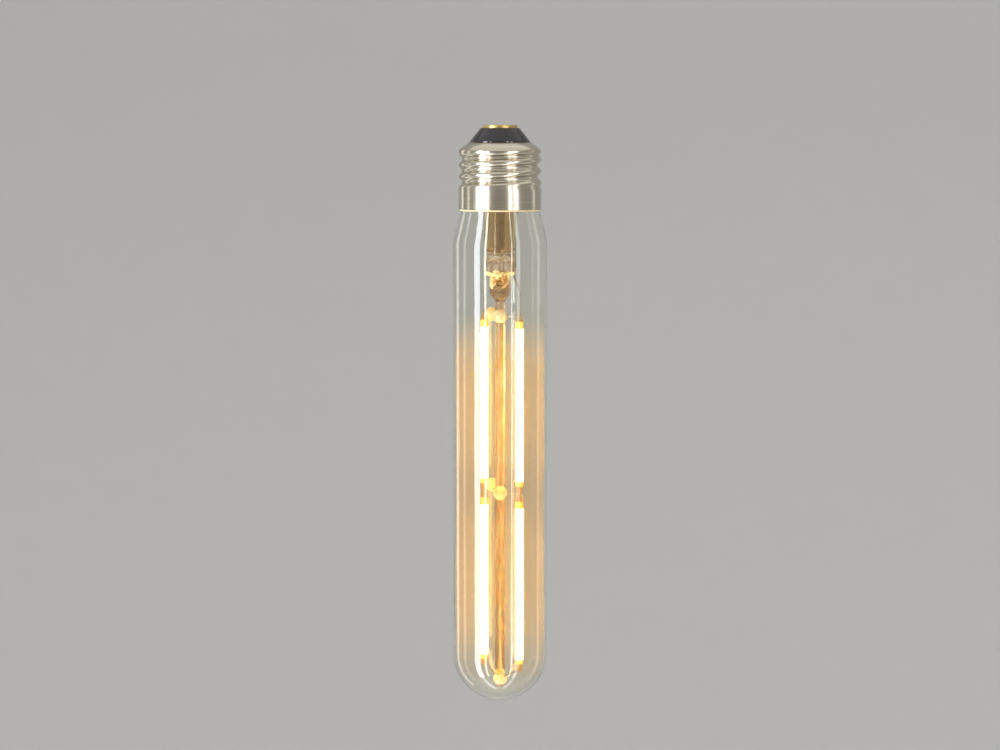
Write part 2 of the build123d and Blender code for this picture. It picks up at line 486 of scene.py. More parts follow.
# Sintered glass beads: pale yellow and a little milky, so that they catch the filaments' light.
SINTERED_BEAD = StainedGlass(
    "sintered_glass_bead",
    "#FFF8DA",
    "#E2C070",
    roughness=0.04,
    grain_mm=0.9,
    relief_mm=0.1,
    ior=1.52,
    clearness=0.62,
    scatter_mm=2.0,
)
# Drawn glass rod: pale and gold lines along it, painted bright and shaded lines of the filaments' light,
# over fine draw lines in its relief that split their light.
ROD_GLASS_PAINTED_LINES = StainedGlass(
    "rod_glass_painted_light_lines",
    "#FFFBEA",
    "#CDA260",
    grain_mm=0.45,
    relief_mm=0.02,
    grain=Grain.ALONG_THE_AXIS,
    ior=1.56,
    clearness=0.95,
    scatter_mm=2.0,
)
# Pressed glass of the pinch, with relief drawn out as it was squeezed: warm grey, with pale lines along it
# that are painted highlights and brown lines that are painted shade.
PINCH_GLASS_PAINTED_LINES = StainedGlass(
    "pinch_glass_painted_light_lines",
    "#F8ECDC",
    "#A88A70",
    grain_mm=0.7,
    relief_mm=0.05,
    grain=Grain.ALONG_THE_AXIS,
    ior=1.56,
    clearness=0.85,
    scatter_mm=2.0,
)
# Cast silicone with yellow phosphor over rows of chips: matt yellow, white hot to the eye when lit.
CAST_PHOSPHOR = LitPhosphor(
    "cast_phosphor_silicone",
    "#F2C04A",
    "#E3A93A",
    roughness=0.55,
    roughness_spread=0.1,
    grain_mm=0.8,
    relief_mm=0.02,
    glow="#FFD489",
    brightness=150.0,
)
# The same silicone past the last chip: yellow, with only the light that creeps along inside it.
CREEP_PHOSPHOR = replace(CAST_PHOSPHOR, name="cast_phosphor_silicone_end", glow="#FFC018", brightness=0.5)
# Stamped brass strip with a gilt flash: warm yellow, softly brushed by the press tool.
GILT_STRIP = Finish(
    "stamped_gilt_brass",
    "#F0C25C",
    "#C9922E",
    roughness=0.32,
    roughness_spread=0.1,
    grain_mm=0.5,
    relief_mm=0.01,
    metallic=1.0,
)
# Drawn nickel wire: grey with a warm cast where the glass was melted round it, and fine die lines along it.
NICKEL_WIRE = Finish(
    "drawn_nickel_wire",
    "#B8B0A4",
    "#8F8373",
    roughness=0.28,
    roughness_spread=0.1,
    grain_mm=0.6,
    relief_mm=0.01,
    grain=Grain.ALONG_THE_AXIS,
    metallic=1.0,
)
# Nickel plating on a rolled brass shell: bright warm grey, with fine rubbed lines round it.
PLATED_SHELL = Finish(
    "rolled_nickel_plated_brass",
    "#CFC9BE",
    "#B3A88F",
    roughness=0.2,
    roughness_spread=0.09,
    grain_mm=0.7,
    relief_mm=0.012,
    grain=Grain.ROUND_THE_AXIS,
    metallic=1.0,
)
# Moulded black glass: almost black, with a wet shine and slow waves from the mould.
BLACK_GLASS = Finish(
    "moulded_black_glass",
    "#0E0D10",
    "#17141A",
    roughness=0.1,
    roughness_spread=0.05,
    grain_mm=2.2,
    relief_mm=0.05,
    ior=1.55,
)
# Stamped brass contact: yellow and dulled, with small marks from the tool.
CONTACT_BRASS = Finish(
    "stamped_brass",
    "#D9BE7C",
    "#A98C4C",
    roughness=0.34,
    roughness_spread=0.1,
    grain_mm=0.4,
    relief_mm=0.012,
    metallic=1.0,
)
# Flowed tin solder: bright grey with a frosted skin.
TIN_SOLDER = Finish(
    "flowed_tin_solder",
    "#C9C9C6",
    "#9A9A98",
    roughness=0.3,
    roughness_spread=0.12,
    grain_mm=0.5,
    relief_mm=0.03,
    metallic=1.0,
)
# Baked basing cement: cream, dry and gritty.
BASING_CEMENT = Finish(
    "baked_basing_cement",
    "#D8C9A6",
    "#B7A27A",
    roughness=0.85,
    roughness_spread=0.08,
    grain_mm=0.5,
    relief_mm=0.08,
)
# Glass-fibre laminate under white resist: flat and even, faintly mottled by the fibres.
BOARD_LAMINATE = Finish(
    "resist_coated_laminate",
    "#DEDBD0",
    "#C4BFAE",
    roughness=0.5,
    roughness_spread=0.08,
    grain_mm=0.6,
    relief_mm=0.01,
)
# Shrunk polymer sleeve of the capacitor: smooth and glossy black.
SHRUNK_SLEEVE = Finish(
    "shrunk_polymer_sleeve",
    "#15161A",
    "#22242A",
    roughness=0.25,
    roughness_spread=0.06,
    grain_mm=1.5,
    relief_mm=0.02,
)
# Moulded epoxy of the packages: matt charcoal with a fine sandy mould texture.
MOULDED_EPOXY = Finish(
    "moulded_epoxy",
    "#1B1B1C",
    "#2A2A2B",
    roughness=0.6,
    roughness_spread=0.1,
    grain_mm=0.25,
    relief_mm=0.01,
)
# Dipped enamel on the ceramic resistor: grey green, thick and shiny.
DIPPED_ENAMEL = Finish(
    "dipped_resistor_enamel",
    "#7E9A90",
    "#6B867C",
    roughness=0.35,
    roughness_spread=0.08,
    grain_mm=1.0,
    relief_mm=0.03,
)
# Tinned copper wire: pale grey and smooth.
TINNED_COPPER = Finish(
    "tinned_copper_wire",
    "#C2BCB0",
    "#A39A8A",
    roughness=0.3,
    roughness_spread=0.1,
    grain_mm=0.6,
    relief_mm=0.01,
    metallic=1.0,
)
# Matt backdrop paper: pale neutral grey, flat, with slow patches that hardly show.
BACKDROP_PAPER = Finish(
    "matt_backdrop_paper", "#D1D1D0", "#CFCFCE", roughness=0.9, roughness_spread=0.03, grain_mm=40.0
)


class StemGlass(Enum):
    """The glass of each zone of the fused stem, in the order of its material slots."""

    TUBE = STEM_GLASS_PAINTED_GLOW
    ROD = ROD_GLASS_PAINTED_LINES
    SEAL = SEAL_GLASS_PAINTED_GLINTS
    ROOT = ROOT_GLASS_PAINTED_GLINTS
    BEAD = SINTERED_BEAD
    PINCH = PINCH_GLASS_PAINTED_LINES


# Meshes


def clamped(share: float) -> float:
    """Share held between 0 and 1."""
    return max(0.0, min(1.0, share))


def eased(share: float) -> float:
    """Share held between 0 and 1, with a soft start and a soft end."""
    share = clamped(share)
    return share * share * (3 - 2 * share)


def arc(centre: Vector, start: Vector, end: Vector, steps: int) -> Route:
    """Points along the shorter arc about a centre.

    Args:
        centre: Centre of the arc.
        start: First point, kept.
        end: Last point, kept.
        steps: Number of chords.

    Returns:
        Points from start to end.
    """
    first, last = start - centre, end - centre
    turn = first.angle(last)
    points = []
    for step in range(steps + 1):
        share = step / steps
        reach = first * math.sin((1 - share) * turn) + last * math.sin(share * turn)
        points.append(centre + reach / math.sin(turn))
    return points


def bezier(ends: tuple[Vector, Vector, Vector, Vector], steps: int) -> Route:
    """Points along a cubic curve.

    Args:
        ends: First point, its handle, the last point's handle, and the last point.
        steps: Number of chords.

    Returns:
        Points from the first to the last.
    """
    a, b, c, d = ends
    points = []
    for step in range(steps + 1):
        t = step / steps
        s = 1 - t
        points.append(a * s**3 + b * 3 * s * s * t + c * 3 * s * t * t + d * t**3)
    return points


def rounded(corners: Sequence[Vector], radii: Sequence[float], steps: int = 8) -> Route:
    """A line through corners, with an arc at each inner one.

    Args:
        corners: Ends and corners of the line.
        radii: Radius at each inner corner.
        steps: Chords of each arc.

    Returns:
        Points of the rounded line.
    """
    points = [corners[0]]
    for before, corner, after, radius in zip(corners, corners[1:], corners[2:], radii):
        back, on = (before - corner).normalized(), (after - corner).normalized()
        half = back.angle(on) / 2
        reach = radius / math.tan(half)
        centre = corner + (back + on).normalized() * radius / math.sin(half)
        points += arc(centre, corner + back * reach, corner + on * reach, steps)
    return points + [corners[-1]]


def profile(radius: float, height: float) -> Vector:
    """A point of an outline that is turned about the axis."""
    return Vector((radius, 0, height))


def to_mesh(name: str, shape: bmesh.types.BMesh, crease: float = 40.0) -> bpy.types.Mesh:
    """Smooth-shaded mesh in metres from a shape in millimetres.

    Args:
        name: Name of the mesh.
        shape: The shape, freed here.
        crease: Angle in degrees past which an edge stays sharp.

    Returns:
        The mesh.
    """
    bmesh.ops.recalc_face_normals(shape, faces=shape.faces)
    mesh = bpy.data.meshes.new(name)
    shape.to_mesh(mesh)
    shape.free()
    mesh.transform(Matrix.Scale(MM, 4))
    mesh.shade_smooth()
    mesh.set_sharp_from_angle(angle=math.radians(crease))
    return mesh


def turned(
    outline: Sequence[Vector], steps: int = 96, closed: bool = True, sink: Sink | None = None
) -> bmesh.types.BMesh:
    """Shape turned about Z.

    Args:
        outline: Points of radius and height, where a radius of 0 is a pole.
        steps: Divisions of the full turn.
        closed: Whether the last point joins the first.
        sink: Depth to move a point inwards, from its angle and its place in the outline.

    Returns:
        The shape.
    """
    shape = bmesh.new()
    rings = []
    for point in outline:
        if point.x < POLE_RADIUS:
            rings.append([shape.verts.new(point)] * steps)
            continue
        ring = []
        for step in range(steps):
            angle = math.tau * step / steps
            radius = point.x - (sink(angle, point) if sink else 0.0)
            ring.append(shape.verts.new(on_column(angle, radius, point.z)))
        rings.append(ring)
    pairs = list(zip(rings, rings[1:] + rings[:1] if closed else rings[1:]))
    for upper, lower in pairs:
        for step in range(steps):
            after = (step + 1) % steps
            corners = dict.fromkeys((upper[step], upper[after], lower[after], lower[step]))
            if len(corners) > 2:
                shape.faces.new(corners)
    return shape


def lofted(sections: Sequence[Route]) -> bmesh.types.BMesh:
    """Closed shape through sections with as many points each.

    Args:
        sections: Loops of points, from one end to the other.

    Returns:
        The shape, with a face at each end.
    """
    shape = bmesh.new()
    loops = [[shape.verts.new(point) for point in section] for section in sections]
    for loop, other in zip(loops, loops[1:]):
        for index, vertex in enumerate(loop):
            after = (index + 1) % len(loop)
            shape.faces.new((vertex, loop[after], other[after], other[index]))
    shape.faces.new(loops[0])
    shape.faces.new(loops[-1])
    return shape


def swept(route: Route, radii: Sequence[float], sides: int = 16) -> bmesh.types.BMesh:
    """Round bar along a route, turned as little as the route lets it.

    Args:
        route: Points of the centre line.
        radii: Radius at each point.
        sides: Divisions of the section.

    Returns:
        The shape, with a face at each end.
    """
    headings = [(after - before).normalized() for before, after in zip(route, route[1:])]
    tangents = [headings[0]] + [(a + b).normalized() for a, b in zip(headings, headings[1:])] + [headings[-1]]
    across = tangents[0].orthogonal().normalized()
    sections = []
    for point, tangent, radius in zip(route, tangents, radii):
        across = (across - tangent * across.dot(tangent)).normalized()
        up = tangent.cross(across)
        angles = [math.tau * side / sides for side in range(sides)]
        sections.append([point + (across * math.cos(a) + up * math.sin(a)) * radius for a in angles])
    return lofted(sections)


def joined(target: bpy.types.Object, tool: bpy.types.Mesh, operation: str) -> None:
    """Fuses a mesh to an object, or cuts it out.

    Args:
        target: Object whose mesh is replaced by the result.
        tool: The other mesh, removed here.
        operation: UNION or DIFFERENCE.
    """
    other = bpy.data.objects.new(tool.name, tool)
    bpy.context.scene.collection.objects.link(other)
    modifier = target.modifiers.new("fuse", "BOOLEAN")
    modifier.object = other
    modifier.operation = operation
    modifier.solver = "EXACT"
    bpy.context.view_layer.update()
    result = bpy.data.meshes.new_from_object(target.evaluated_get(bpy.context.evaluated_depsgraph_get()))
    target.modifiers.clear()
    old, target.data = target.data, result
    bpy.data.objects.remove(other)
    bpy.data.meshes.remove(old)
    bpy.data.meshes.remove(tool)


def add_piece(
    name: str, mesh: bpy.types.Mesh, finish: Finish, slot: str | None, *nodes: str
) -> bpy.types.Object:
    """Puts a finished mesh on the lamp.

    Args:
        name: Name of the piece.
        mesh: Its mesh, in place.
        finish: Its surface.
        slot: Material slot of the record, if it has one; not used.
        nodes: CAD nodes that it stands for.

    Returns:
        The piece.
    """
    piece = bpy.data.objects.new(name, mesh)
    bpy.context.scene.collection.objects.link(piece)
    mesh.materials.append(finish.material())
    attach(piece, BODY)
    if nodes:
        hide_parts(*nodes)
    LOG.info("%s: %d faces, %s", name, len(mesh.polygons), finish.name)
    return piece


# Glass


@dataclass
class Envelope:
    """The blown outer glass: neck, shoulder, tube and dome in one piece."""

    wall: float = 0.8
    neck_radius: float = NECK_RADIUS
    neck_end: float = NECK_END
    shoulder_end: float = -36.7
    neck_rounding: float = 3.0
    shoulder_rounding: float = 14.0
    haze_top: float = -58.0
    haze_gap: float = 0.05
    haze_thickness: float = 0.1
    steps: int = 144
    tip: float = field(init=False)
    seal: float = field(init=False)
    tube_radius: float = field(init=False)

    def __post_init__(self) -> None:
        """Reads the glass's length and width from its CAD node."""
        low, high = box_mm("glass_envelope")
        self.tip, self.seal, self.tube_radius = low.z, high.z, high.x

    def outline(self, inset: float) -> Route:
        """Half outline from the seal to the tip, moved in from the outside.

        Args:
            inset: Distance from the outside.

        Returns:
            Points of radius and height.
        """
        neck, tube = self.neck_radius - inset, self.tube_radius - inset
        dome = self.tip + self.tube_radius
        corners = [
            profile(neck, self.seal),
            profile(neck, self.neck_end),
            profile(tube, self.shoulder_end),
            profile(tube, dome),
        ]
        side = rounded(corners, (self.neck_rounding, self.shoulder_rounding), steps=12)
        return side + arc(profile(0, dome), profile(tube, dome), profile(0, dome - tube), steps=32)[1:]

    def build(self) -> None:
        """Makes the glass with its inside and outside."""
        outside, inside = self.outline(0), self.outline(self.wall)
        mesh = to_mesh("blown_envelope", turned(outside + inside[::-1], self.steps))
        add_piece("blown_envelope", mesh, BLOWN_GLASS, "clear_glass", "glass_envelope")
        self.haze()

    def haze(self) -> None:
        """Makes the film that stands in for the filaments' glow, inside the tube and the dome, from their
        tops down.
        """
        faces = []
        for depth in (0.0, self.haze_thickness):
            inset = self.wall + self.haze_gap + depth
            start = profile(self.tube_radius - inset, self.haze_top)
            faces.append([start] + [point for point in self.outline(inset) if point.z < self.haze_top])
        outside, inside = faces
        mesh = to_mesh("glow_stand_in_haze", turned(outside + inside[::-1], self.steps))
        add_piece("glow_stand_in_haze", mesh, GLOW_HAZE, None)


@dataclass
class Column:
    """One column of filaments: where it stands and the heights of its welds."""

    side: Side
    weld_margin: float = 0.8
    azimuth: float = field(init=False)
    radius: float = field(init=False)
    top_weld: float = field(init=False)
    middle_weld: float = field(init=False)
    bottom_weld: float = field(init=False)

    def __post_init__(self) -> None:
        """Reads the column's place from its CAD nodes."""
        low, high = box_mm(self.filament(Tier.UPPER))
        middle = (low + high) / 2
        self.azimuth = math.atan2(middle.y, middle.x)
        self.radius = middle.xy.length
        self.top_weld = box_mm(self.terminal(Tier.UPPER, "top"))[1].z - self.weld_margin
        self.middle_weld = box_mm(self.terminal(Tier.UPPER, "bottom"))[0].z
        self.bottom_weld = box_mm(self.terminal(Tier.LOWER, "bottom"))[0].z + self.weld_margin

    def filament(self, tier: Tier) -> str:
        """Name of a filament's CAD node."""
        return f"{tier.value}_{self.side.value}_filament"

    def terminal(self, tier: Tier, end: str) -> str:
        """Name of a terminal's CAD node."""
        return f"{self.filament(tier)}_{end}_terminal"

    def at(self, height: float, lift: float = 0.0) -> Vector:
        """Point on the column, lifted off the middle of its terminals away from the lamp's axis.

        Args:
            height: Height of the point.
            lift: Distance along Y, away from the axis.

        Returns:
            The point in the lamp's frame.
        """
        away = math.copysign(lift, math.sin(self.azimuth))
        return on_column(self.azimuth, self.radius, height) + Vector((0, away, 0))


@dataclass
class Stem:
    """The glass mount: flare, tube and pinch, with the exhaust tube, the rod and its beads fused on."""

    columns: Sequence[Column]
    flare_radius: float = 11.55
    flare_inner_radius: float = 11.05
    flare_waist: float = 0.66
    flare_inner_waist: float = 0.61
    flare_drop: float = 0.9
    flare_inner_drop: float = 0.1
    flare_fall: float = 3.2
    flare_inner_fall: float = 2.4
    flare_end: float = -30.8
    neck_radius: float = NECK_RADIUS
    seal_thickness: float = 0.8
    floor_rounding: float = 1.6
    radius: float = 5.1
    wall: float = 0.85
    pinch_top: float = -40.7
    pinch_start: float = -44.3
    end: float = -47.7
    pinch_half_thickness: float = 2.2
    pinch_squareness: float = 2.2
    pinch_rounding: float = 0.9
    root_radius: float = 3.25
    root_taper_start: float = -53.4
    root_end: float = -56.0
    taper_lead: float = 0.6
    taper_shoulder: float = 1.4
    taper_foot: float = 1.6
    taper_run_out: float = 0.4
    rod_radius: float = 1.6
    rod_end: float = -181.3
    bead_radius: float = 2.25
    bead_offset: float = 2.8
    bead_skin: float = 0.07
    bead_azimuths: dict[Side, float] = field(default_factory=lambda: {Side.RIGHT: -88.0, Side.LEFT: 158.0})
    bead_lifts: dict[Side, tuple[float, float]] = field(
        default_factory=lambda: {Side.RIGHT: (0.0, 0.0), Side.LEFT: (0.4, 2.2)}
    )
    hub_drop: float = 4.2
    exhaust_radius: float = 2.0
    exhaust_bore: float = 1.0
    exhaust_top: float = -24.7
    exhaust_neck: float = -27.1
    passage_bend: float = 1.2
    hole_flare: float = 1.9
    hole_height: float = -50.1
    wrinkle: float = 0.3
    wrinkle_size: float = 2.4
    wrinkle_fade: float = 2.0
    crinkle: float = 0.2
    crinkle_size: float = 1.1
    ripple: float = 0.2
    ripple_pitch: float = 1.2
    ripple_reach: float = 2.4
    glint_band_top: float = -46.6
    glint_band_bottom: float = -51.0
    glint_band_waver: float = 2.0
    fuse_overlap: float = 0.6
    crease: float = 70.0
    flare_top: float = field(init=False)

    def __post_init__(self) -> None:
        """Reads the flare's top from the CAD node."""
        self.flare_top = box_mm("glass_stem")[1].z

    def flare_and_tube(self) -> bpy.types.Mesh:
        """The flare and tube, closed at the bottom where the pinch begins.

        Returns:
            The mesh.
        """
        seal = self.flare_top - self.seal_thickness
        bore = self.radius - self.wall
        floor = self.pinch_top + self.wall / 2
        outside = bezier(
            (
                profile(self.flare_radius, seal),
                profile(self.flare_radius * self.flare_waist, seal - self.flare_drop),
                profile(self.radius, seal - self.flare_fall),
                profile(self.radius, self.flare_end),
            ),
            steps=20,
        )
        inside = bezier(
            (
                profile(bore, self.flare_end),
                profile(bore, seal - self.flare_inner_fall),
                profile(self.flare_inner_radius * self.flare_inner_waist, seal - self.flare_inner_drop),
                profile(self.flare_inner_radius, self.flare_top),
            ),
            steps=20,
        )
        hollow = [profile(0, floor), profile(bore, floor), profile(bore, self.flare_end)]
        bottom = rounded(hollow, (self.floor_rounding,), steps=8)
        rim = [profile(self.neck_radius, self.flare_top), profile(self.neck_radius, seal)]
        base = self.pinch_top - self.fuse_overlap
        foot = [profile(self.radius, base), profile(0, base)]
        outline = rim + outside + foot + bottom[:-1] + inside
        return to_mesh("flare", turned(outline, steps=72))

    def pinch(self) -> bpy.types.Mesh:
        """The end of the tube, pressed flat round the wires.

        Returns:
            The mesh.
        """
        rounding = self.pinch_rounding
        stations, sides = 44, 112
        sections = []
        for station in range(stations + 1):
            height = self.pinch_top + (self.end - self.pinch_top) * station / stations
            press = eased((self.pinch_top - height) / (self.pinch_top - self.pinch_start))
            half = self.radius + (self.pinch_half_thickness - self.radius) * press
            square = 2 + self.pinch_squareness * press
            left = clamped((height - self.end) / rounding)
            tuck = rounding * (1 - math.sqrt(1 - (1 - left) ** 2))
            section = []
            for side in range(sides):
                angle = math.tau * side / sides
                c, s = math.cos(angle), math.sin(angle)
                x = math.copysign(abs(c) ** (2 / square), c) * (self.radius - tuck)
                y = math.copysign(abs(s) ** (2 / square), s) * (half - tuck)
                section.append(Vector((x, y, height)))
            sections.append(section)
        return to_mesh("pinch", lofted(sections))

    def root_and_rod(self) -> bpy.types.Mesh:
        """The root under the pinch, drawn down into the support rod with a fire-rounded end.

        Returns:
            The mesh.
        """
        taper = bezier(
            (
                profile(self.root_radius, self.root_taper_start + self.taper_lead),
                profile(self.root_radius, self.root_taper_start - self.taper_shoulder),
                profile(self.rod_radius, self.root_end + self.taper_foot),
                profile(self.rod_radius, self.root_end - self.taper_run_out),
            ),
            steps=14,
        )
        top = self.end + self.fuse_overlap
        ball = self.rod_end + self.rod_radius
        end = arc(profile(0, ball), profile(self.rod_radius, ball), profile(0, self.rod_end), steps=10)
        rows = 24
        fall = (taper[0].z - top) / rows
        root = [profile(self.root_radius, top + fall * row) for row in range(rows)]
        outline = [profile(0, top)] + root + taper + end
        return to_mesh("rod", turned(outline, steps=88, closed=False))

    def bead(self, centre: Vector) -> bpy.types.Mesh:
        """A round bead, as it sets on the rod.

        Args:
            centre: Middle of the bead.

        Returns:
            The mesh.
        """
        shape = bmesh.new()
        bmesh.ops.create_uvsphere(shape, u_segments=36, v_segments=20, radius=self.bead_radius)
        bmesh.ops.translate(shape, verts=shape.verts, vec=centre)
        return to_mesh("bead", shape)

    def beads(self, column: Column) -> Route:
        """Middles of the upper and the middle bead that hold one column.

        Args:
            column: The column that they hold.

        Returns:
            The two points, the upper one first.
        """
        azimuth = math.radians(self.bead_azimuths[column.side])
        welds = (column.top_weld, column.middle_weld)
        lifts = self.bead_lifts[column.side]
        return [on_column(azimuth, self.bead_offset, weld + lift) for weld, lift in zip(welds, lifts)]

    def hub(self) -> Vector:
        """Middle of the bead at the rod's end, which the bridge wire goes through."""
        return Vector((0, 0, self.columns[0].bottom_weld - self.hub_drop))

    def exhaust_passage(self) -> bpy.types.Mesh:
        """The hollow down the exhaust tube and out through the front of the root.

        Returns:
            The mesh.
        """
        corners = [
            Vector((0, 0, self.exhaust_neck)),
            Vector((0, 0, self.hole_height)),
            Vector((0, -self.radius, self.hole_height)),
        ]
        route = rounded(corners, (self.exhaust_bore * self.passage_bend,), steps=10)
        radii = [self.exhaust_bore] * (len(route) - 1) + [self.exhaust_bore * self.hole_flare]
        return to_mesh("passage", swept(route, radii, sides=28))

    def wrinkled(self, mesh: bpy.types.Mesh) -> None:
        """Leaves the press's flow marks on the pinch and the root, and rings round the blown hole.

        Args:
            mesh: The fused stem.
        """
        blown_hole = Vector((0, -self.root_radius, self.hole_height))
        for vertex in mesh.vertices:
            place = vertex.co / MM
            share = clamped(min(self.pinch_top - place.z, place.z - self.root_end) / self.wrinkle_fade)
            swell = noise.noise(place / self.wrinkle_size) * self.wrinkle
            swell += noise.noise(place / self.crinkle_size) * self.crinkle
            away = (place - blown_hole).length
            ring = self.ripple * math.exp(-away / self.ripple_reach)
            swell += math.cos(math.tau * away / self.ripple_pitch) * ring
            vertex.co += vertex.normal * swell * share * MM

    def dressed(self, mesh: bpy.types.Mesh) -> None:
        """Gives the pinch, the seal, the root, the beads and the rod each its own glass.

        On all but the beads, the patches are painted glints and painted shade lines.

        Args:
            mesh: The fused stem, with its first finish.
        """
        zones = list(StemGlass)
        for zone in zones[1:]:
            mesh.materials.append(zone.value.material())
        beads = self.all_beads()
        for face in mesh.polygons:
            place = face.center / MM
            if place.z < self.pinch_top:
                face.material_index = zones.index(self.zone(place, beads))

    def zone(self, place: Vector, beads: Route) -> StemGlass:
        """The glass at a place below the top of the pinch.

        Args:
            place: Middle of a face.
            beads: Middles of the beads.

        Returns:
            The zone, with wavy edges to the seal.
        """
        if place.z < self.root_end:
            off_bead = min(abs((place - centre).length - self.bead_radius) for centre in beads)
            return StemGlass.BEAD if off_bead < self.bead_skin else StemGlass.ROD
        # Band of the seal's painted glints, with wavy edges
        edge = place.z + noise.noise(place / self.wrinkle_size) * self.glint_band_waver
        if edge < self.glint_band_bottom:
            return StemGlass.ROOT
        return StemGlass.SEAL if edge < self.glint_band_top else StemGlass.PINCH

    def all_beads(self) -> Route:
        """Middles of every bead, the hub last."""
        return [*self.beads(self.columns[0]), *self.beads(self.columns[1]), self.hub()]

    def build(self) -> None:
        """Fuses the glass pieces into one and puts it in the lamp."""
        piece = bpy.data.objects.new("pressed_stem", self.flare_and_tube())
        bpy.context.scene.collection.objects.link(piece)
        tube = [Vector((0, 0, self.exhaust_top)), Vector((0, 0, self.pinch_top - self.fuse_overlap))]
        exhaust = swept(tube, [self.exhaust_radius] * 2, sides=40)
        for mesh in (self.pinch(), self.root_and_rod(), to_mesh("exhaust", exhaust)):
            joined(piece, mesh, "UNION")
        for centre in self.all_beads():
            joined(piece, self.bead(centre), "UNION")
        joined(piece, self.exhaust_passage(), "DIFFERENCE")
        mesh = piece.data
        bpy.data.objects.remove(piece)
        self.wrinkled(mesh)
        mesh.materials.clear()
        mesh.shade_smooth()
        mesh.set_sharp_from_angle(angle=math.radians(self.crease))
        add_piece("pressed_stem", mesh, StemGlass.TUBE.value, "clear_glass", "glass_stem")
        self.dressed(mesh)


# Filaments and wires


@dataclass
class FilamentSet:
    """The four filaments and the stamped terminals at their ends."""

    columns: Sequence[Column]
    diameter: float = 2.5
    end_rounding: float = 0.2
    unlit_top: float = 2.2
    unlit_bottom: float = 1.5
    terminal_base: float = 2.3
    terminal_tip: float = 1.0
    terminal_thickness: float = TERMINAL_THICKNESS
    terminal_edge: float = 0.06

    def filament(self, column: Column, tier: Tier) -> None:
        """Makes one filament with rounded ends, which stay unlit past the last chips.

        Args:
            column: Column that it stands in.
            tier: Upper or lower.
        """
        node = column.filament(tier)
        low, high = box_mm(node)
        radius = self.diameter / 2
        first_chip, last_chip = high.z - self.unlit_top, low.z + self.unlit_bottom
        top = [profile(0, high.z), profile(radius, high.z), profile(radius, first_chip)]
        bottom = [profile(radius, last_chip), profile(radius, low.z), profile(0, low.z)]
        outline = rounded(top, (self.end_rounding,)) + rounded(bottom, (self.end_rounding,))
        shape = turned(outline, steps=40, closed=False)
        for face in shape.faces:
            if not last_chip < face.calc_center_median().z < first_chip:
                face.material_index = 1
        bmesh.ops.translate(shape, verts=shape.verts, vec=column.at(0))
        mesh = to_mesh(node, shape)
        piece = add_piece(f"cast_{node}", mesh, CAST_PHOSPHOR, "filament_phosphor", node)
        mesh.materials.append(CREEP_PHOSPHOR.material())
        # The tube's round back wall would mirror a filament as one broad band with hard edges
        piece.visible_glossy = False

    def terminal(self, column: Column, tier: Tier, end: str) -> None:
        """Makes one terminal, a strip that tapers away from its filament.

        Args:
            column: Column that it stands in.
            tier: Upper or lower filament.
            end: Top or bottom of the filament.
        """
        node = column.terminal(tier, end)
        low, high = box_mm(node)
        base, tip = (low.z, high.z) if end == "top" else (high.z, low.z)
        shape = bmesh.new()
        wide, narrow = self.terminal_base / 2, self.terminal_tip / 2
        corners = [(-wide, base), (wide, base), (narrow, tip), (-narrow, tip)]
        front = Vector((0, -self.terminal_thickness / 2, 0))
        points = [column.at(height) + Vector((across, 0, 0)) + front for across, height in corners]
        face = shape.faces.new([shape.verts.new(point) for point in points])
        grown = bmesh.ops.extrude_face_region(shape, geom=[face])
        moved = [part for part in grown["geom"] if isinstance(part, bmesh.types.BMVert)]
        bmesh.ops.translate(shape, verts=moved, vec=-2 * front)
        bmesh.ops.bevel(
            shape, geom=shape.edges[:], offset=self.terminal_edge, segments=3, profile=0.5, affect="EDGES"
        )
        add_piece(f"stamped_{node}", to_mesh(node, shape), GILT_STRIP, "gilt_terminal", node)

    def build(self) -> None:
        """Makes every filament and terminal."""
        for column in self.columns:
            for tier in Tier:
                self.filament(column, tier)
                for end in ("top", "bottom"):
                    self.terminal(column, tier, end)


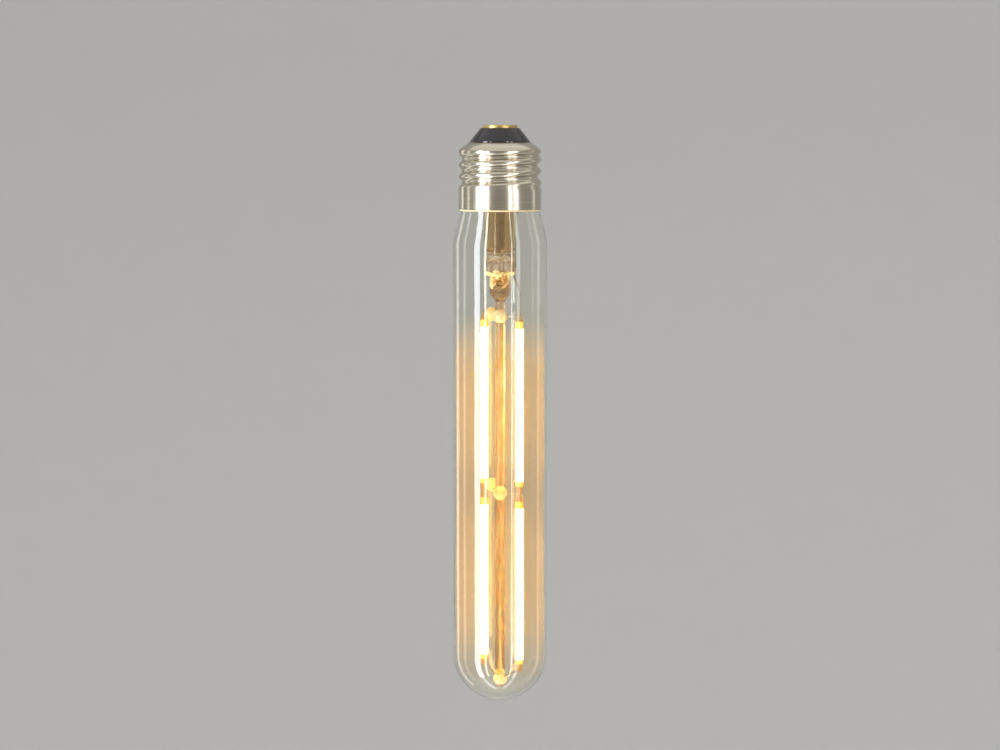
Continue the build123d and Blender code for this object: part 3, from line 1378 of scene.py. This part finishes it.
@dataclass
class WireSet:
    """Lead-in wires, support wires and the bridge wire, drawn round and bent."""

    columns: Sequence[Column]
    stem: Stem
    diameter: float = 0.5
    lead_offset: float = 3.75
    lead_exit: float = 4.55
    lead_spread: float = -40.2
    lead_turn: float = -48.4
    lead_splay_drop: float = 3.0
    bend: float = 1.2
    terminal_thickness: float = TERMINAL_THICKNESS
    crease: float = 60.0

    def wire(self, node: str, corners: Sequence[Vector]) -> None:
        """Makes one wire.

        Args:
            node: CAD node that it stands for.
            corners: Ends and bends of its centre line.
        """
        route = rounded(corners, (self.bend,) * (len(corners) - 2))
        shape = swept(route, [self.diameter / 2] * len(route))
        add_piece(f"drawn_{node}", to_mesh(node, shape, self.crease), NICKEL_WIRE, "nickel_wire", node)

    def lead(self, column: Column) -> None:
        """Makes the lead-in wire of one side, from the board to its column.

        Args:
            column: Column that it feeds.
        """
        node = f"{column.side.value}_lead_wire"
        low, high = box_mm(node)
        inner, outer = column.side.sign * self.lead_offset, column.side.sign * self.lead_exit
        lift = (self.terminal_thickness + self.diameter) / 2
        self.wire(
            node,
            [
                Vector((inner, 0, high.z)),
                Vector((inner, 0, self.lead_spread)),
                Vector((outer, 0, self.lead_turn)),
                column.at(self.lead_turn - self.lead_splay_drop, lift),
                column.at(low.z, lift),
            ],
        )

    def supports(self, column: Column) -> None:
        """Makes the two wires from the beads to one column's terminals.

        Args:
            column: Column that they hold.
        """
        welds = (("upper", column.top_weld), ("middle", column.middle_weld))
        for (level, weld), start in zip(welds, self.stem.beads(column)):
            node = f"{column.side.value}_{level}_support_wire"
            self.wire(node, [start, column.at(weld, self.terminal_thickness / 2)])

    def bridge(self) -> None:
        """Makes the wire that joins the two columns through the hub."""
        ends = [column.at(column.bottom_weld, self.terminal_thickness / 2) for column in self.columns]
        self.wire("lower_bridge_wire", [ends[0], self.stem.hub(), ends[1]])

    def build(self) -> None:
        """Makes every wire."""
        for column in self.columns:
            self.lead(column)
            self.supports(column)
        self.bridge()


# Cap


@dataclass
class ScrewCap:
    """The rolled shell, the black glass insulator, the contact with its solder, and the cement at the rim."""

    wall: float = 0.35
    pitch: float = 3.629
    thread_depth: float = 1.075
    thread_top: float = -7.9
    skirt_top: float = -20.6
    run_out: float = 2.4
    shoulder_rounding: float = 1.2
    mouth_radius: float = 10.0
    insulator_crown: float = 6.2
    bore: float = 1.0
    edge: float = 0.25
    insulator_edge: float = 0.15
    crown_rounding: float = 0.6
    contact_bore: float = 1.3
    contact_bore_edge: float = 0.2
    contact_edge: float = 0.3
    solder_rise: float = 0.1
    solder_crown: float = 1.0
    solder_rounding: float = 0.6
    neck_radius: float = NECK_RADIUS
    neck_end: float = NECK_END
    cement_depth: float = 0.5
    cement_bulge: float = 0.15
    cement_gap: float = 0.1
    cement_waver: float = 0.03
    cement_waves: int = 7
    steps: int = 160
    rim: float = field(init=False)
    mouth: float = field(init=False)
    crest: float = field(init=False)
    insulator_top: float = field(init=False)
    contact_radius: float = field(init=False)

    def __post_init__(self) -> None:
        """Reads the cap's height and width from its CAD nodes."""
        low, high = box_mm("cap_shell")
        self.rim, self.mouth, self.crest = low.z, high.z, high.x
        self.insulator_top = box_mm("cap_insulator")[1].z
        self.contact_radius = box_mm("centre_contact")[1].x

    def groove(self, angle: float, point: Vector) -> float:
        """Depth of the round thread at a place on the shell.

        Args:
            angle: Angle about the axis.
            point: Radius and height before the thread is rolled.

        Returns:
            Depth, 0 at the crest and past both ends of the thread.
        """
        share = eased(min(self.thread_top - point.z, point.z - self.skirt_top) / self.run_out)
        phase = math.tau * point.z / self.pitch - angle
        return share * self.thread_depth * (0.5 - 0.5 * math.cos(phase))

    def shell_outline(self, inset: float) -> Route:
        """Half outline of the shell from the mouth to the rim, before the thread is rolled.

        Args:
            inset: Distance from the outside.

        Returns:
            Points of radius and height.
        """
        wide = self.crest - inset
        corners = [
            profile(self.mouth_radius - inset, self.mouth),
            profile(wide, self.thread_top),
            profile(wide, self.skirt_top),
        ]
        shoulder = rounded(corners, (self.shoulder_rounding,), steps=6)[:-1]
        rows = 84
        threaded = []
        for row in range(1, rows + 1):
            height = shoulder[-1].z + (self.skirt_top - shoulder[-1].z) * row / rows
            threaded.append(profile(wide, height))
        return shoulder + threaded + [profile(wide, self.rim + self.edge), profile(wide, self.rim)]

    def shell(self) -> None:
        """Makes the shell with its rolled thread."""
        outside, inside = self.shell_outline(0), self.shell_outline(self.wall)
        shape = turned(outside + inside[::-1], self.steps, sink=self.groove)
        mesh = to_mesh("rolled_shell", shape)
        add_piece("rolled_shell", mesh, PLATED_SHELL, "nickel_plated_shell", "cap_shell")

    def insulator(self) -> None:
        """Makes the insulator, a cone with a soft crown."""
        corners = [
            profile(self.bore, self.mouth),
            profile(self.bore, self.insulator_top),
            profile(self.insulator_crown, self.insulator_top),
            profile(self.mouth_radius - self.wall, self.mouth + self.wall),
            profile(self.mouth_radius - self.wall, self.mouth),
        ]
        radii = (self.insulator_edge, self.crown_rounding, self.insulator_edge)
        outline = rounded(corners, radii, steps=6)
        mesh = to_mesh("moulded_insulator", turned(outline, steps=96))
        add_piece("moulded_insulator", mesh, BLACK_GLASS, "black_glass", "cap_insulator")

    def contact(self) -> None:
        """Makes the contact disc with rounded stamped edges."""
        top = 0.0
        corners = [
            profile(self.contact_bore, self.insulator_top),
            profile(self.contact_bore, top),
            profile(self.contact_radius, top),
            profile(self.contact_radius, self.insulator_top),
        ]
        outline = rounded(corners, (self.contact_bore_edge, self.contact_edge), steps=6)
        mesh = to_mesh("stamped_contact", turned(outline, steps=80))
        add_piece("stamped_contact", mesh, CONTACT_BRASS, "contact_brass", "centre_contact")

    def solder(self) -> None:
        """Makes the solder in the contact's hole, a low dome."""
        low, high = box_mm("contact_solder")
        dome = [
            profile(0, high.z + self.solder_rise),
            profile(self.solder_crown, high.z + self.solder_rise / 2),
            profile(self.contact_bore, high.z),
        ]
        crown = rounded(dome, (self.solder_rounding,), steps=8)
        outline = crown + [profile(self.contact_bore, low.z), profile(0, low.z)]
        mesh = to_mesh("flowed_solder", turned(outline, steps=40, closed=False))
        add_piece("flowed_solder", mesh, TIN_SOLDER, "tin_solder", "contact_solder")

    def waver(self, angle: float, point: Vector) -> float:
        """Depth of the uneven cement at an angle and a place in its outline."""
        return self.cement_waver * math.sin(self.cement_waves * angle + point.z)

    def cement(self) -> None:
        """Makes the bead of cement squeezed out between the neck and the rim."""
        corners = [
            profile(self.neck_radius, self.rim + self.cement_depth),
            profile(self.crest - self.wall, self.rim + self.cement_depth),
            profile(self.crest - self.wall, self.rim),
            profile(self.crest - self.edge, self.rim - self.cement_bulge),
            profile(self.neck_radius, self.neck_end + self.cement_gap),
        ]
        shape = turned(corners, steps=120, sink=self.waver)
        add_piece("basing_cement", to_mesh("basing_cement", shape), BASING_CEMENT, None)

    def build(self) -> None:
        """Makes every piece of the cap."""
        self.shell()
        self.insulator()
        self.contact()
        self.solder()
        self.cement()


@dataclass
class Driver:
    """The board and its parts inside the cap, which keep their CAD shapes."""

    finishes: dict[str, Finish] = field(
        default_factory=lambda: {
            "driver_board": BOARD_LAMINATE,
            "smoothing_capacitor": SHRUNK_SLEEVE,
            "bridge_rectifier": MOULDED_EPOXY,
            "driver_chip": MOULDED_EPOXY,
            "fusible_resistor": DIPPED_ENAMEL,
            "live_wire": TINNED_COPPER,
            "neutral_wire": TINNED_COPPER,
        }
    )

    def build(self) -> None:
        """Dresses every piece of the driver."""
        for node, finish in self.finishes.items():
            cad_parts[node].material_slots[0].material = finish.material()
            LOG.info("%s: CAD shape, %s", node, finish.name)


# Studio


@dataclass(frozen=True)
class Softbox:
    """A tall soft light beside the lamp, seen in the glass as an upright streak.

    The azimuth is counted from the camera's side towards the left of the picture.
    """

    name: str
    azimuth: float
    width: float
    power: float
    colour: str = "#FFFFFF"
    height: float = 1200.0
    distance: float = 620.0
    middle: float = -250.0
    facing: float | None = None
    through_glass: bool = True

    def build(self) -> None:
        """Puts the light in place, facing a height on the lamp's axis and unseen by the camera."""
        light = bpy.data.lights.new(self.name, "AREA")
        light.shape = "RECTANGLE"
        light.size, light.size_y = self.width * MM, self.height * MM
        light.energy = self.power
        light.color = linear(self.colour)[:3]
        holder = bpy.data.objects.new(self.name, light)
        bpy.context.scene.collection.objects.link(holder)
        turn = math.radians(self.azimuth)
        away = Vector((-math.sin(turn), -math.cos(turn), 0))
        place = away * self.distance + Vector((0, 0, self.middle))
        aim = Vector((0, 0, self.middle if self.facing is None else self.facing))
        holder.location = place * MM
        holder.rotation_euler = (place - aim).to_track_quat("Z", "Y").to_euler()
        holder.visible_camera = False
        holder.visible_transmission = self.through_glass


# Two of the lights have a low foot, close in and turned up at the lamp's dome
FOOT_PLACE = {"height": 600.0, "distance": 330.0, "middle": -760.0, "facing": -170.0, "through_glass": False}


@dataclass
class Studio:
    """Pale seamless backdrop, soft lights and the camera at the photograph's angle."""

    floor: float = -900.0
    floor_radius: float = 1600.0
    cove: float = 1000.0
    wall_top: float = 2200.0
    aim_height: float = -79.6
    distance: float = 800.0
    elevation: float = 5.5
    pixels_per_mm: float = 3.125
    picture_width: float = 1000.0
    sensor_width: float = 36.0
    fill: float = 1.0
    fill_colour: str = "#FFFDF8"
    softboxes: Sequence[Softbox] = (
        Softbox("window_light", 57.0, 170.0, 8.4, "#F2F6FF", through_glass=False),
        Softbox("window_foot", 57.0, 80.0, 0.8, "#F2F6FF", **FOOT_PLACE),
        Softbox("front_light", -45.0, 100.0, 1.75, through_glass=False),
        Softbox("front_foot", -45.0, 50.0, 0.5, **FOOT_PLACE),
        Softbox("front_edge", -28.5, 38.0, 1.35, through_glass=False),
        Softbox("narrow_light", 36.0, 55.0, 1.7),
        Softbox("side_light", 98.0, 75.0, 0.4),
        Softbox("back_light", 128.0, 100.0, 0.55),
        Softbox("right_light", -108.0, 80.0, 0.27),
    )

    def backdrop(self) -> None:
        """Makes the floor and the wall round it, joined by a cove."""
        corners = [
            profile(0, self.floor),
            profile(self.floor_radius + self.cove, self.floor),
            profile(self.floor_radius + self.cove, self.wall_top),
        ]
        shape = turned(rounded(corners, (self.cove,), steps=16), steps=96, closed=False)
        mesh = to_mesh("backdrop", shape)
        mesh.flip_normals()
        mesh.materials.append(BACKDROP_PAPER.material())
        paper = bpy.data.objects.new("backdrop", mesh)
        bpy.context.scene.collection.objects.link(paper)

    def sky(self) -> None:
        """Fills in from above with plain light."""
        world = bpy.data.worlds.new("studio")
        bpy.context.scene.world = world
        world.use_nodes = True
        world.node_tree.nodes.clear()
        values = {"Color": linear(self.fill_colour), "Strength": self.fill}
        plain = add_node(world.node_tree, "ShaderNodeBackground", values)
        add_node(world.node_tree, "ShaderNodeOutputWorld", links={"Surface": plain.outputs[0]})

    def camera(self) -> None:
        """Stands the camera in front of the lamp, looking slightly down."""
        data = bpy.data.cameras.new("camera")
        data.sensor_width = self.sensor_width
        data.lens = self.pixels_per_mm * self.distance * self.sensor_width / self.picture_width
        camera = bpy.data.objects.new("camera", data)
        bpy.context.scene.collection.objects.link(camera)
        rise = math.radians(self.elevation)
        back = Vector((0, -math.cos(rise), math.sin(rise)))
        camera.location = (Vector((0, 0, self.aim_height)) + back * self.distance) * MM
        camera.rotation_euler = back.to_track_quat("Z", "Y").to_euler()
        bpy.context.scene.camera = camera

    def build(self) -> None:
        """Makes the whole studio."""
        self.backdrop()
        self.sky()
        for softbox in self.softboxes:
            softbox.build()
        self.camera()
        bpy.context.scene.view_settings.view_transform = "Standard"


def main() -> None:
    """Builds the lamp piece by piece and stands it in the studio."""
    logging.basicConfig(level=logging.INFO, format="%(message)s")
    columns = [Column(side) for side in Side]
    stem = Stem(columns)
    lamp = (Envelope(), stem, FilamentSet(columns), WireSet(columns, stem), ScrewCap(), Driver())
    for assembly in (*lamp, Studio()):
        assembly.build()


if __name__ == "__main__":
    main()
